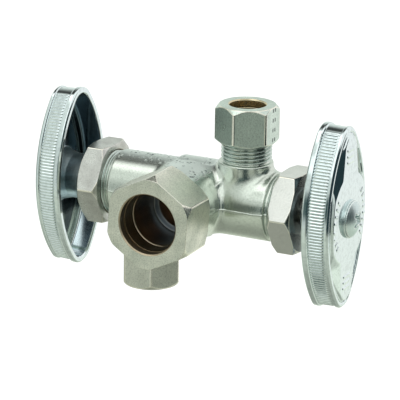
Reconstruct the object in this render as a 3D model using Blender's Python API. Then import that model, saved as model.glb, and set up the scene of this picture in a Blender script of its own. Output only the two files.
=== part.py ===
"""Dual-outlet, dual shut-off angle stop valve.

Run with: blender --background --python part.py
Metres, +Z up.  The origin is the centre of the inlet nut's front face, the
inlet points along -Y, the two stems share one axis along X, and the outlets
point up (+Z, right half) and down (-Z, left half).
"""
import math

import bmesh
import bpy
from mathutils import Matrix, Vector

MM = 0.001

# ---------------------------------------------------------------- dimensions
# All in millimetres.  X stations are measured from the inlet axis, and are
# mirrored to the left side by a half turn about the inlet axis.
STEM_AXIS_Y = 31.8          # from the inlet nut's face back to the stem axis

# body casting
BARREL_R = 9.8
BARREL_END = 24.3
PAD_R = 10.75               # thicker centre section of the barrel
PAD_HALF = 6.2
SPIGOT_R = 9.2              # male thread for the packing nut
SPIGOT_END = 29.2
INLET_BOSS_R = 11.2
INLET_SHOULDER = 17.3       # boss face, in front of the stem axis
INLET_THREAD_R = 10.2       # 13/16-18 male thread, nominal
INLET_MOUTH = 24.2
OUTLET_X = 14.7
OUTLET_BOSS_R = 7.6
OUTLET_SHOULDER = 12.2
OUTLET_THREAD_R = 7.1       # 9/16-24 male thread, nominal
OUTLET_MOUTH = 22.6

# passages
INLET_SOCKET_R = 8.05       # 5/8 in. OD tube
INLET_SOCKET_STOP = 12.0
INLET_PASSAGE_R = 6.3
SEAT_BORE_R = 3.6
SEAT_FACE = 9.5
SEAT_ROOT = 8.5
CHAMBER_R = 6.1
CHAMBER_END = 18.0
STEM_THREAD_BORE_R = 5.35
PACKING_BORE_R = 7.0
PACKING_FLOOR = 26.7
OUTLET_PASSAGE_R = 3.2
OUTLET_SOCKET_R = 4.85      # 3/8 in. OD tube
OUTLET_SOCKET_STOP = 15.5

# nuts
INLET_NUT_AF = 23.8         # 15/16 in.
INLET_NUT_FACE = 31.8
INLET_NUT_BACK = 17.7
INLET_NUT_HOLE_R = 8.4
OUTLET_NUT_AF = 15.875      # 5/8 in.
OUTLET_NUT_FACE = 28.5
OUTLET_NUT_BACK = 17.7
OUTLET_NUT_HOLE_R = 5.1
PACKING_NUT_AF = 22.2       # 7/8 in.
PACKING_NUT_IN = 26.5
PACKING_NUT_OUT = 33.1

# stem
STEM_R = 3.2
STEM_THREAD_R = 5.05
STEM_END = 42.7
STEM_SQUARE = 4.4

# handwheel: a four-arc oval, measured at its widest outline
WHEEL_HALF_WIDTH = 14.1
WHEEL_HALF_HEIGHT = 26.4
WHEEL_SIDE_R = 36.5
WHEEL_BACK = 37.5
WHEEL_FRONT = 46.2
HUB_R = 6.5
HUB_BACK = 34.0

WHEEL_SIDE_C = WHEEL_SIDE_R - WHEEL_HALF_WIDTH
WHEEL_TIP_R = ((WHEEL_SIDE_R ** 2 - WHEEL_SIDE_C ** 2 - WHEEL_HALF_HEIGHT ** 2)
               / (2.0 * (WHEEL_SIDE_R - WHEEL_HALF_HEIGHT)))

X_OUT = (Vector((1, 0, 0)), Vector((0, 1, 0)), Vector((0, 0, 1)))
Y_IN = (Vector((0, -1, 0)), Vector((0, 0, 1)), Vector((-1, 0, 0)))
Z_UP = (Vector((0, 0, 1)), Vector((1, 0, 0)), Vector((0, 1, 0)))
STEM_ORIGIN = Vector((0, STEM_AXIS_Y, 0))
HALF_TURN = Matrix.Rotation(math.pi, 4, "Y")


# ------------------------------------------------------------------- helpers
def clear_scene():
    for obj in list(bpy.data.objects):
        bpy.data.objects.remove(obj, do_unlink=True)


def material(name, colour, rough, metallic):
    mat = bpy.data.materials.new(name)
    mat.use_nodes = True
    bsdf = mat.node_tree.nodes["Principled BSDF"]
    bsdf.inputs["Base Color"].default_value = (*colour, 1.0)
    bsdf.inputs["Roughness"].default_value = rough
    bsdf.inputs["Metallic"].default_value = metallic
    mat.diffuse_color = (*colour, 1.0)
    return mat


def value(item, angle):
    return item(angle) if callable(item) else item


def skin(rings, closed):
    """Quads between successive rings; a ring of one point is a pole."""
    bm = bmesh.new()
    made = [[bm.verts.new(p * MM) for p in ring] for ring in rings]
    pairs = list(zip(made, made[1:] + made[:1])) if closed else list(zip(made, made[1:]))
    for a, b in pairs:
        n = max(len(a), len(b))
        for i in range(n):
            j = (i + 1) % n
            if len(a) == 1:
                bm.faces.new((a[0], b[i], b[j]))
            elif len(b) == 1:
                bm.faces.new((a[i], a[j], b[0]))
            else:
                bm.faces.new((a[i], a[j], b[j], b[i]))
    bmesh.ops.remove_doubles(bm, verts=bm.verts[:], dist=2e-6)
    bmesh.ops.dissolve_degenerate(bm, dist=1e-7, edges=bm.edges[:])
    bmesh.ops.recalc_face_normals(bm, faces=bm.faces[:])
    return bm


def lathe(profile, axis, centre, n, closed=False, turn=0.0):
    """Revolve (station, radius) pairs; either may be a function of angle."""
    along, u, v = axis
    rings = []
    for s, r in profile:
        if not callable(r) and r == 0.0:
            rings.append([centre + along * value(s, 0.0)])
            continue
        ring = []
        for i in range(n):
            a = 2.0 * math.pi * i / n + turn
            ring.append(centre + along * value(s, a)
                        + (u * math.cos(a) + v * math.sin(a)) * value(r, a))
        rings.append(ring)
    return skin(rings, closed)


def hex_radius(across_flats, corner_at):
    def radius(a):
        off = (a - corner_at) % (math.pi / 3.0) - math.pi / 6.0
        return across_flats / 2.0 / math.cos(off)
    return radius


def hex_nut(face, back, across, corner_at, face_r, face_slope, back_r, back_slope, inner, axis, centre, n):
    """A chamfered hex shell; inner is its bore profile from face to back."""
    side = -1.0 if face > back else 1.0
    hexa = hex_radius(across, corner_at)
    profile = [
        (face, lambda a: min(hexa(a), face_r)),
        (lambda a: face + side * max(0.02, (hexa(a) - face_r) * face_slope), hexa),
        (lambda a: back - side * max(0.02, (hexa(a) - back_r) * back_slope), hexa),
        (back, lambda a: min(hexa(a), back_r)),
    ]
    return lathe(profile + inner[::-1], axis, centre, n, closed=True, turn=corner_at)


def publish(name, bm, mat, pivot=None, half_turn=False):
    """Make the object, with its origin on pivot (mm) when one is given."""
    if half_turn:
        bm.transform(HALF_TURN)
    origin = Vector((0, 0, 0))
    if pivot is not None:
        origin = pivot * MM
        if half_turn:
            origin = HALF_TURN @ origin
        bm.transform(Matrix.Translation(-origin))
    mesh = bpy.data.meshes.new(name)
    bm.to_mesh(mesh)
    bm.free()
    obj = bpy.data.objects.new(name, mesh)
    obj.location = origin
    if mat is not None:
        mesh.materials.append(mat)
    bpy.context.scene.collection.objects.link(obj)
    return obj


def boolean(obj, tool, operation):
    tool.hide_render = True
    tool.hide_set(True)
    tool.display_type = "WIRE"
    mod = obj.modifiers.new(tool.name, "BOOLEAN")
    mod.operation = operation
    mod.solver = "EXACT"
    mod.object = tool


# ---------------------------------------------------------------- body casting
def build_body(mat):
    half = [(PAD_HALF - 0.8, PAD_R), (PAD_HALF + 1.8, BARREL_R), (BARREL_END - 0.5, BARREL_R),
            (BARREL_END, BARREL_R - 0.5), (BARREL_END, SPIGOT_R - 0.5), (BARREL_END + 0.9, SPIGOT_R - 0.5),
            (BARREL_END + 1.3, SPIGOT_R), (SPIGOT_END - 0.4, SPIGOT_R), (SPIGOT_END, SPIGOT_R - 0.4)]
    left = [(-s, r) for s, r in half[::-1]]
    barrel = lathe([(-SPIGOT_END, 0.0)] + left + half + [(SPIGOT_END, 0.0)], X_OUT, STEM_ORIGIN, 40)
    body = publish("valve_body", barrel, mat)

    branch = lathe([(-1.5, 0.0), (-1.5, 9.0), (2.0, INLET_BOSS_R - 0.5), (11.0, INLET_BOSS_R),
                    (INLET_SHOULDER - 0.4, INLET_BOSS_R), (INLET_SHOULDER, INLET_BOSS_R - 0.4),
                    (INLET_SHOULDER, INLET_THREAD_R), (INLET_MOUTH - 0.5, INLET_THREAD_R),
                    (INLET_MOUTH, INLET_THREAD_R - 0.5), (INLET_MOUTH, 0.0)], Y_IN, STEM_ORIGIN, 40,
                   turn=math.radians(1.7))
    boolean(body, publish("tool_inlet_branch", branch, None), "UNION")

    boss = [(1.0, 0.0), (1.0, 8.4), (6.5, 9.2), (8.2, 8.1), (10.6, OUTLET_BOSS_R),
            (OUTLET_SHOULDER - 0.3, OUTLET_BOSS_R), (OUTLET_SHOULDER, OUTLET_THREAD_R),
            (OUTLET_MOUTH - 0.4, OUTLET_THREAD_R), (OUTLET_MOUTH, OUTLET_THREAD_R - 0.4), (OUTLET_MOUTH, 0.0)]
    at = STEM_ORIGIN + Vector((OUTLET_X, 0, 0))
    boolean(body, publish("tool_top_branch", lathe(boss, Z_UP, at, 32, turn=0.021), None), "UNION")
    boolean(body, publish("tool_bottom_branch", lathe(boss, Z_UP, at, 32, turn=0.021), None, half_turn=True), "UNION")

    socket = [(-3.4, 0.0), (-3.4, INLET_PASSAGE_R - 1.5), (-1.9, INLET_PASSAGE_R),
              (INLET_SOCKET_STOP, INLET_PASSAGE_R), (INLET_SOCKET_STOP, INLET_SOCKET_R),
              (INLET_MOUTH - 1.2, INLET_SOCKET_R), (INLET_MOUTH, INLET_SOCKET_R + 1.2),
              (INLET_MOUTH + 0.6, INLET_SOCKET_R + 1.2), (INLET_MOUTH + 0.6, 0.0)]
    boolean(body, publish("tool_inlet_bore", lathe(socket, Y_IN, STEM_ORIGIN, 32, turn=0.013), None), "DIFFERENCE")

    chamber = [(0.3, 0.0), (0.3, SEAT_BORE_R), (SEAT_FACE, SEAT_BORE_R), (SEAT_FACE, SEAT_BORE_R + 0.9),
               (SEAT_ROOT, SEAT_BORE_R + 1.3), (SEAT_ROOT, CHAMBER_R), (CHAMBER_END, CHAMBER_R),
               (CHAMBER_END, STEM_THREAD_BORE_R), (PACKING_FLOOR, STEM_THREAD_BORE_R),
               (PACKING_FLOOR, PACKING_BORE_R), (SPIGOT_END + 0.5, PACKING_BORE_R), (SPIGOT_END + 0.5, 0.0)]
    boolean(body, publish("tool_right_chamber", lathe(chamber, X_OUT, STEM_ORIGIN, 24, turn=0.017), None), "DIFFERENCE")
    boolean(body, publish("tool_left_chamber", lathe(chamber, X_OUT, STEM_ORIGIN, 24, turn=0.017), None,
                          half_turn=True), "DIFFERENCE")

    outlet = [(1.3, 0.0), (1.3, OUTLET_PASSAGE_R), (OUTLET_SOCKET_STOP, OUTLET_PASSAGE_R),
              (OUTLET_SOCKET_STOP, OUTLET_SOCKET_R), (OUTLET_MOUTH - 0.9, OUTLET_SOCKET_R),
              (OUTLET_MOUTH, OUTLET_SOCKET_R + 0.9), (OUTLET_MOUTH + 0.5, OUTLET_SOCKET_R + 0.9),
              (OUTLET_MOUTH + 0.5, 0.0)]
    boolean(body, publish("tool_top_bore", lathe(outlet, Z_UP, at, 24, turn=0.009), None), "DIFFERENCE")
    boolean(body, publish("tool_bottom_bore", lathe(outlet, Z_UP, at, 24, turn=0.009), None, half_turn=True),
            "DIFFERENCE")
    return body


# ------------------------------------------------------------- compression joints
def build_inlet_joint(nut_mat, sleeve_mat):
    cap = INLET_NUT_FACE - 2.6
    inner = [(INLET_NUT_FACE, INLET_NUT_HOLE_R + 0.3), (INLET_NUT_FACE - 0.3, INLET_NUT_HOLE_R),
             (cap, INLET_NUT_HOLE_R), (cap - 1.6, INLET_THREAD_R + 0.25),
             (INLET_NUT_BACK, INLET_THREAD_R + 0.25)]
    # the hexagon stands 4.3 degrees off upright
    nut = hex_nut(INLET_NUT_FACE, INLET_NUT_BACK, INLET_NUT_AF, math.radians(-4.3), 12.75, 2.6, 12.6, 1.0,
                  inner, Y_IN, STEM_ORIGIN, 48)
    publish("inlet_nut", nut, nut_mat, pivot=Vector((0, 0, 0)))
    ring = [(INLET_MOUTH + 0.35, 8.1), (INLET_MOUTH + 0.35, 8.9), (INLET_MOUTH + 1.5, 9.6),
            (INLET_MOUTH + 2.9, 9.6), (cap - 0.35, 8.7), (cap - 0.35, 8.1)]
    publish("inlet_sleeve", lathe(ring, Y_IN, STEM_ORIGIN, 32, closed=True), sleeve_mat, pivot=Vector((0, 5, 0)))


def build_outlet_joint(name, corner_at, nut_mat, sleeve_mat, half_turn):
    at = STEM_ORIGIN + Vector((OUTLET_X, 0, 0))
    cap = OUTLET_NUT_FACE - 2.0
    inner = [(OUTLET_NUT_FACE, OUTLET_NUT_HOLE_R + 0.3), (OUTLET_NUT_FACE - 0.3, OUTLET_NUT_HOLE_R),
             (cap, OUTLET_NUT_HOLE_R), (cap - 1.2, OUTLET_THREAD_R + 0.2), (OUTLET_NUT_BACK, OUTLET_THREAD_R + 0.2)]
    nut = hex_nut(OUTLET_NUT_FACE, OUTLET_NUT_BACK, OUTLET_NUT_AF, corner_at, 8.25, 0.95, 8.15, 0.8,
                  inner, Z_UP, at, 36)
    publish(name + "_outlet_nut", nut, nut_mat, pivot=at, half_turn=half_turn)
    ring = [(OUTLET_MOUTH + 0.35, 4.95), (OUTLET_MOUTH + 0.35, 5.5), (OUTLET_MOUTH + 1.2, 6.3),
            (OUTLET_MOUTH + 2.3, 6.3), (cap - 0.35, 5.45), (cap - 0.35, 4.95)]
    publish(name + "_outlet_sleeve", lathe(ring, Z_UP, at, 28, closed=True), sleeve_mat, pivot=at,
            half_turn=half_turn)


# ----------------------------------------------------------------- valve sides
def square_radius(width, limit):
    def radius(a):
        return min(width / 2.0 / max(abs(math.cos(a)), abs(math.sin(a))), limit)
    return radius


def wheel_outline(n):
    """(arc centre y, arc centre z, arc radius, direction) around the oval."""
    reach = math.hypot(WHEEL_SIDE_C, WHEEL_HALF_HEIGHT - WHEEL_TIP_R)
    join = math.acos(WHEEL_SIDE_C / reach)
    side, tip = WHEEL_SIDE_R * join, WHEEL_TIP_R * (math.pi / 2.0 - join) * 2.2
    per_side = round(n / 4 * side / (side + tip))
    per_tip = n // 4 - per_side
    quarter = [(-WHEEL_SIDE_C, 0.0, WHEEL_SIDE_R, join * i / per_side) for i in range(per_side)]
    quarter += [(0.0, WHEEL_HALF_HEIGHT - WHEEL_TIP_R, WHEEL_TIP_R, join + (math.pi / 2.0 - join) * i / per_tip)
                for i in range(per_tip)]
    out = list(quarter)
    out.append((0.0, WHEEL_HALF_HEIGHT - WHEEL_TIP_R, WHEEL_TIP_R, math.pi / 2.0))
    out += [(-cy, cz, r, math.pi - a) for cy, cz, r, a in quarter[:0:-1]]
    out += [(-cy, -cz, r, a + math.pi) for cy, cz, r, a in out]
    return out


def build_wheel(name, mat, half_turn):
    outline = wheel_outline(48)

    def oval(offset, x):
        return [STEM_ORIGIN + Vector((x, cy + (r + offset) * math.cos(a), cz + (r + offset) * math.sin(a)))
                for cy, cz, r, a in outline]

    angles = [math.atan2(cz + r * math.sin(a), cy + r * math.cos(a)) for cy, cz, r, a in outline]

    def disc(radius, x):
        return [STEM_ORIGIN + Vector((x, math.cos(a) * value(radius, a), math.sin(a) * value(radius, a)))
                for a in angles]

    broach = square_radius(STEM_SQUARE + 0.6, 3.15)
    b, f = WHEEL_BACK, WHEEL_FRONT
    rings = [disc(2.1, f - 0.9), disc(6.3, f - 0.9), disc(6.9, f - 0.15), oval(-2.9, f), oval(-2.35, f - 1.1),
             oval(-1.5, f - 0.8), oval(-0.9, f - 0.9), oval(-0.3, b + 2.1), oval(0.0, b + 1.3),
             oval(0.0, b + 0.4), oval(-0.4, b), oval(-1.7, b), oval(-2.2, f - 3.1),
             oval(-3.6, f - 2.4), disc(9.0, f - 2.4), disc(HUB_R, f - 5.8),
             disc(HUB_R, HUB_BACK), disc(3.5, HUB_BACK), disc(3.5, b + 0.4),
             disc(broach, b + 0.4), disc(broach, f - 3.2), disc(2.1, f - 3.2)]
    publish(name + "_handle", skin(rings, True), mat, pivot=STEM_ORIGIN + Vector((40, 0, 0)), half_turn=half_turn)


def build_side(name, mats, half_turn):
    square = square_radius(STEM_SQUARE, 2.75)
    stem = [(16.8, 0.0), (16.8, 1.5), (12.0, 1.5), (12.0, 4.4), (12.4, 4.8), (13.2, 4.8), (13.8, 3.4), (15.0, 3.4),
            (15.4, STEM_THREAD_R), (21.8, STEM_THREAD_R), (22.2, 4.2), (22.9, STEM_R), (37.5, STEM_R),
            (37.5, square), (STEM_END - 0.3, square), (STEM_END, 2.35), (STEM_END, 2.0), (36.2, 2.0), (35.6, 0.0)]
    publish(name + "_stem", lathe(stem, X_OUT, STEM_ORIGIN, 24), mats["stem"],
            pivot=STEM_ORIGIN + Vector((20, 0, 0)), half_turn=half_turn)

    washer = [(SEAT_FACE + 0.3, 1.55), (SEAT_FACE + 0.3, 5.0), (SEAT_FACE + 0.6, 5.3), (11.4, 5.3), (11.7, 5.0),
              (11.7, 1.55)]
    publish(name + "_seat_washer", lathe(washer, X_OUT, STEM_ORIGIN, 24, closed=True), mats["rubber"],
            pivot=STEM_ORIGIN + Vector((10, 0, 0)), half_turn=half_turn)
    screw = [(8.1, 0.0), (8.1, 1.9), (8.5, 2.5), (SEAT_FACE, 2.5), (SEAT_FACE, 1.25), (16.2, 1.25), (16.5, 0.9),
             (16.5, 0.0)]
    washer_screw = publish(name + "_seat_washer_screw", lathe(screw, X_OUT, STEM_ORIGIN, 16), mats["brass"],
                           pivot=STEM_ORIGIN + Vector((10, 0, 0)), half_turn=half_turn)
    slot = bmesh.new()
    bmesh.ops.create_cube(slot, size=1.0, matrix=Matrix.Translation((STEM_ORIGIN + Vector((8.1, 0, 0))) * MM)
                          @ Matrix.Diagonal((1.0 * MM, 0.7 * MM, 6.0 * MM, 1.0)))
    boolean(washer_screw, publish("tool_" + name + "_slot", slot, None, half_turn=half_turn), "DIFFERENCE")

    ring = [(PACKING_FLOOR + 0.25, 3.5), (PACKING_FLOOR + 0.25, 6.7), (PACKING_FLOOR + 1.05, 6.7),
            (PACKING_FLOOR + 1.05, 3.5)]
    publish(name + "_packing_washer", lathe(ring, X_OUT, STEM_ORIGIN, 24, closed=True), mats["brass"],
            half_turn=half_turn)
    ring = [(PACKING_FLOOR + 1.35, 3.45), (PACKING_FLOOR + 1.35, 6.7), (30.2, 6.7), (30.6, 5.8), (30.6, 3.45)]
    publish(name + "_packing_ring", lathe(ring, X_OUT, STEM_ORIGIN, 24, closed=True), mats["graphite"],
            half_turn=half_turn)

    inner = [(PACKING_NUT_OUT, 4.1), (PACKING_NUT_OUT - 0.4, 3.6), (30.9, 3.6), (30.9, 7.4), (29.9, SPIGOT_R + 0.2),
             (PACKING_NUT_IN, SPIGOT_R + 0.2)]
    nut = hex_nut(PACKING_NUT_OUT, PACKING_NUT_IN, PACKING_NUT_AF, math.pi, 11.35, 0.62, 11.5, 0.84,
                  inner, X_OUT, STEM_ORIGIN, 36)
    publish(name + "_packing_nut", nut, mats["nut"], half_turn=half_turn)

    build_wheel(name, mats["chrome"], half_turn)

    head = WHEEL_FRONT - 0.6
    screw = [(37.4, 0.0), (37.4, 1.2), (37.9, 1.75), (head, 1.75), (head, 5.5), (head + 0.25, 5.9), (head + 0.6, 5.8),
             (head + 1.0, 5.2), (head + 1.9, 4.5), (head + 2.7, 3.2), (head + 3.1, 1.7), (head + 3.2, 0.0)]
    bolt = publish(name + "_handle_screw", lathe(screw, X_OUT, STEM_ORIGIN, 28), mats["chrome_bright"],
                   pivot=STEM_ORIGIN + Vector((40, 0, 0)), half_turn=half_turn)
    for tag, size in (("a", (3.2, 1.1, 5.0)), ("b", (3.2, 5.0, 1.1))):
        cross = bmesh.new()
        bmesh.ops.create_cube(cross, size=1.0,
                              matrix=Matrix.Translation((STEM_ORIGIN + Vector((head + 3.2, 0, 0))) * MM)
                              @ Matrix.Diagonal((size[0] * MM, size[1] * MM, size[2] * MM, 1.0)))
        boolean(bolt, publish("tool_" + name + "_cross_" + tag, cross, None, half_turn=half_turn), "DIFFERENCE")


def main():
    clear_scene()
    body_mat = material("body_nickel", (0.66, 0.65, 0.62), 0.28, 1.0)
    inlet_mat = material("inlet_nut_nickel", (0.62, 0.57, 0.49), 0.42, 1.0)
    outlet_mat = material("outlet_nut_nickel", (0.58, 0.59, 0.55), 0.33, 1.0)
    brass = material("brass", (0.78, 0.58, 0.27), 0.3, 1.0)
    mats = {
        "stem": material("stem_nickel", (0.6, 0.58, 0.52), 0.3, 1.0),
        "nut": material("packing_nut_nickel", (0.64, 0.59, 0.54), 0.38, 1.0),
        "rubber": material("black_rubber", (0.03, 0.03, 0.032), 0.75, 0.0),
        "graphite": material("graphite_packing", (0.08, 0.08, 0.085), 0.6, 0.0),
        "brass": brass,
        "chrome": material("handle_chrome", (0.78, 0.81, 0.81), 0.1, 1.0),
        "chrome_bright": material("screw_zinc", (0.72, 0.77, 0.77), 0.22, 1.0),
    }
    build_body(body_mat)
    build_inlet_joint(inlet_mat, brass)
    # corner_at is measured in each outlet's own frame, from +X toward +Y
    build_outlet_joint("top", math.radians(-90.9), outlet_mat, brass, False)
    build_outlet_joint("bottom", math.radians(-117.0), outlet_mat, brass, True)
    build_side("right", mats, False)
    build_side("left", mats, True)


main()
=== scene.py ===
import math

import bpy
import numpy as np
from mathutils import Matrix, Vector


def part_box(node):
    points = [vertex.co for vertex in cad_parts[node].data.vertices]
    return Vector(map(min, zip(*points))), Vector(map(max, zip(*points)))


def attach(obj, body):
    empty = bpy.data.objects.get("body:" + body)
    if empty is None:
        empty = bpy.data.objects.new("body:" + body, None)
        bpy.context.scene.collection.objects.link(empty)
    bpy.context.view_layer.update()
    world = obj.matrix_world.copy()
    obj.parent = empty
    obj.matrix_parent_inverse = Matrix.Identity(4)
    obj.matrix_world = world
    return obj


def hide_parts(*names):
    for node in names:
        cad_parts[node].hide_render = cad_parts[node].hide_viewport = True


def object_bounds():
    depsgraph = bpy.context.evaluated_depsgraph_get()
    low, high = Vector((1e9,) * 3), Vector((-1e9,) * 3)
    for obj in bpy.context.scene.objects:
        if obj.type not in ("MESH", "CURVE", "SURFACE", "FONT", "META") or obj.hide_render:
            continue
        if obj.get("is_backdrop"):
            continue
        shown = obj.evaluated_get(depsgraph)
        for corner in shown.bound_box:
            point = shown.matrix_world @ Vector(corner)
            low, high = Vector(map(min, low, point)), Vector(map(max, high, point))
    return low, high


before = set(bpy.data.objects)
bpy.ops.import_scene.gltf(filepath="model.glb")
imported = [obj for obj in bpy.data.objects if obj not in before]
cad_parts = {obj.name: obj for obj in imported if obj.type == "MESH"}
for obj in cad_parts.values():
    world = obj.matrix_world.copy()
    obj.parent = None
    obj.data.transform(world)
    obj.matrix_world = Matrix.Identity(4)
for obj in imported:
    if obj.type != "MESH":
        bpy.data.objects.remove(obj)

CAD_LO, CAD_HI = (list(v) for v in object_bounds())

MM = 0.001


def mid(node, axis):
    lo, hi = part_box(node)
    return (lo[axis] + hi[axis]) / 2 / MM


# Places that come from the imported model, in millimetres.
STEM_Y = mid("right_stem", 1)
OUTLET_X = mid("top_outlet_nut", 0)
CENTRE = np.array([0.0, STEM_Y, 0.0])

# ------------------------------------------------------------------ mesh tools
X_OUT = np.array([[1, 0, 0], [0, 1, 0], [0, 0, 1]], float)      # along, u, v
Y_IN = np.array([[0, -1, 0], [0, 0, 1], [-1, 0, 0]], float)
Z_UP = np.array([[0, 0, 1], [1, 0, 0], [0, 1, 0]], float)


class Build:
    """Collects closed shells, then makes one object of them."""

    def __init__(self):
        self.v, self.f, self.m, self.n = [], [], [], 0

    def add(self, verts, faces, mat=0, half_turn=False):
        verts = np.array(verts, float)
        if half_turn:
            verts = verts * np.array([-1.0, 1.0, -1.0])
        faces = np.array(faces, dtype=np.int64)
        if volume(verts, faces) < 0:
            faces = faces[:, ::-1]
        self.v.append(verts)
        self.f.append(faces + self.n)
        self.m.append(np.full(len(faces), mat) if np.isscalar(mat) else np.array(mat))
        self.n += len(verts)
        return self

    def make(self, name, body, nodes, mats):
        verts = np.concatenate(self.v) * MM
        mesh = bpy.data.meshes.new(name)
        faces = []
        for block in self.f:
            for row in block.tolist():
                if row[2] == row[3]:
                    row = row[:3]
                elif row[0] == row[1]:
                    row = row[1:]
                faces.append(row)
        mesh.from_pydata(verts.tolist(), [], faces)
        for mat in mats:
            mesh.materials.append(mat)
        index = np.concatenate(self.m).astype(np.int32)
        mesh.polygons.foreach_set("material_index", index)
        mesh.polygons.foreach_set("use_smooth", np.ones(len(faces), bool))
        mesh.update()
        obj = bpy.data.objects.new(name, mesh)
        bpy.context.scene.collection.objects.link(obj)
        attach(obj, body)
        if nodes:
            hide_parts(*nodes)
        return obj


def volume(v, f):
    a, b, c, d = (v[f[:, i]] for i in range(4))
    return float((np.einsum("ij,ij->i", a, np.cross(b, c)) + np.einsum("ij,ij->i", a, np.cross(c, d))).sum())


def grid(points, wrap):
    """Quads over an (R, N, 3) array; N always wraps, R wraps if asked."""
    rings, n = points.shape[:2]
    idx = np.arange(rings * n).reshape(rings, n)
    a = idx if wrap else idx[:-1]
    b = np.roll(idx, -1, 0) if wrap else idx[1:]
    quads = np.stack([a, np.roll(a, -1, 1), np.roll(b, -1, 1), b], -1).reshape(-1, 4)
    return points.reshape(-1, 3), quads


def capped(points):
    """A grid whose first and last rings are poles."""
    rings, n = points.shape[:2]
    verts = np.concatenate([points[0].mean(0)[None], points[1:-1].reshape(-1, 3), points[-1].mean(0)[None]])
    idx = np.arange(1, 1 + (rings - 2) * n).reshape(rings - 2, n)
    nxt = np.roll(idx, -1, 1)
    quads = np.stack([idx[:-1], nxt[:-1], nxt[1:], idx[1:]], -1).reshape(-1, 4)
    last = len(verts) - 1
    top = np.stack([np.zeros(n, int), nxt[0], idx[0], idx[0]], -1)
    low = np.stack([np.full(n, last), idx[-1], nxt[-1], nxt[-1]], -1)
    return verts, np.concatenate([top, quads, low])


def rounded(points, closed=False, seg=4, support=0.05, fillet=0.12):
    """(a, b[, fillet]) corners to a fine polyline, with a support point on each side of a fillet."""
    pts = [np.array(p[:2], float) for p in points]
    n, out = len(pts), []
    for i, p in enumerate(pts):
        f = points[i][2] if len(points[i]) > 2 else fillet
        if f <= 0 or (not closed and i in (0, n - 1)):
            out.append(p)
            continue
        a, b = pts[i - 1] - p, pts[(i + 1) % n] - p
        la, lb = np.linalg.norm(a), np.linalg.norm(b)
        a, b = a / la, b / lb
        half = math.acos(max(-1.0, min(1.0, float(a @ b)))) / 2
        if half > math.radians(87) or half < 0.02:
            out.append(p)
            continue
        t = min(f / math.tan(half), 0.45 * la, 0.45 * lb)
        mid_dir = (a + b) / np.linalg.norm(a + b)
        centre = p + mid_dir * (t / math.cos(half))
        start = p + a * t - centre
        sweep = math.pi - 2 * half
        sign = 1.0 if a[0] * b[1] - a[1] * b[0] < 0 else -1.0
        if la - t > 3 * support:
            out.append(p + a * (t + support))
        for k in range(seg + 1):
            w = sign * sweep * k / seg
            out.append(centre + np.array([start[0] * math.cos(w) - start[1] * math.sin(w),
                                          start[0] * math.sin(w) + start[1] * math.cos(w)]))
        if lb - t > 3 * support:
            out.append(p + b * (t + support))
    return np.array(out)


def place(s, r, theta, axis, centre):
    """Points from station, radius and angle arrays of one shape."""
    along, u, v = axis
    return (centre + s[..., None] * along + (r * np.cos(theta))[..., None] * u
            + (r * np.sin(theta))[..., None] * v)


def lathe(profile, axis, centre, n=96, closed=False):
    """Revolve a rounded (station, radius) profile. Open profiles end on the axis."""
    line = rounded(profile, closed)
    s, r = np.repeat(line[:, :1], n, 1), np.repeat(line[:, 1:], n, 1)
    theta = np.repeat(np.linspace(0, 2 * math.pi, n, endpoint=False)[None], len(line), 0)
    points = place(s, r, theta, axis, centre)
    return grid(points, True) if closed else capped(points)


def thread(axis, centre, s0, s1, root, crest, pitch, inner, n=112, per=12, ends=0.7, phase=0.0):
    """A right-hand helical thread over a tube that sits inside the solid it belongs to."""
    count = int((s1 - s0) / pitch * per)
    s = np.linspace(s0, s1, count)[:, None]
    theta = np.linspace(0, 2 * math.pi, n, endpoint=False)[None]
    x = (s / pitch - theta / (2 * math.pi) + phase) % 1.0
    tri = 1 - np.abs(2 * x - 1)
    shape = np.clip((tri - 0.1) / 0.76, 0, 1)
    shape = shape * shape * (3 - 2 * shape) * 0.3 + shape * 0.7
    fade = np.clip((s - s0) / ends, 0, 1) * np.clip((s1 - s) / ends, 0, 1)
    r = root + (crest - root) * shape * fade
    # the chatter of a chased thread
    r = r + 0.022 * np.sin(19 * theta + 2.3 * s) * shape * fade
    s = np.repeat(s, n, 1)
    theta = np.repeat(theta, count, 0)
    outer = place(s, r, theta, axis, centre)
    flat = np.full((2, n), float(inner))
    st = np.repeat(np.array([[s1], [s0]]), n, 1)
    inside = place(st, flat, theta[:2], axis, centre)
    return grid(np.concatenate([outer, inside]), True)


def smin(a, b, k):
    h = np.clip(0.5 + 0.5 * (b - a) / k, 0, 1)
    return b * (1 - h) + a * h - k * h * (1 - h)


def smax(a, b, k):
    return -smin(-a, -b, k)


def hex_outline(af, corner_at, corner_r=0.35, step=0.55):
    """Angles and radii of a hexagon with slightly rounded corners."""
    big = af / 2 / math.cos(math.pi / 6)
    pts = [(big * math.cos(corner_at + k * math.pi / 3), big * math.sin(corner_at + k * math.pi / 3), corner_r)
           for k in range(6)]
    line = rounded(pts, closed=True, seg=6, support=0.06)
    out = []
    for i, p in enumerate(line):
        q = line[(i + 1) % len(line)]
        d = np.linalg.norm(q - p)
        k = max(1, int(round(d / step)))
        out += [p + (q - p) * j / k for j in range(k)]
    out = np.array(out)
    return np.arctan2(out[:, 1], out[:, 0]), np.hypot(out[:, 0], out[:, 1])


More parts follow.
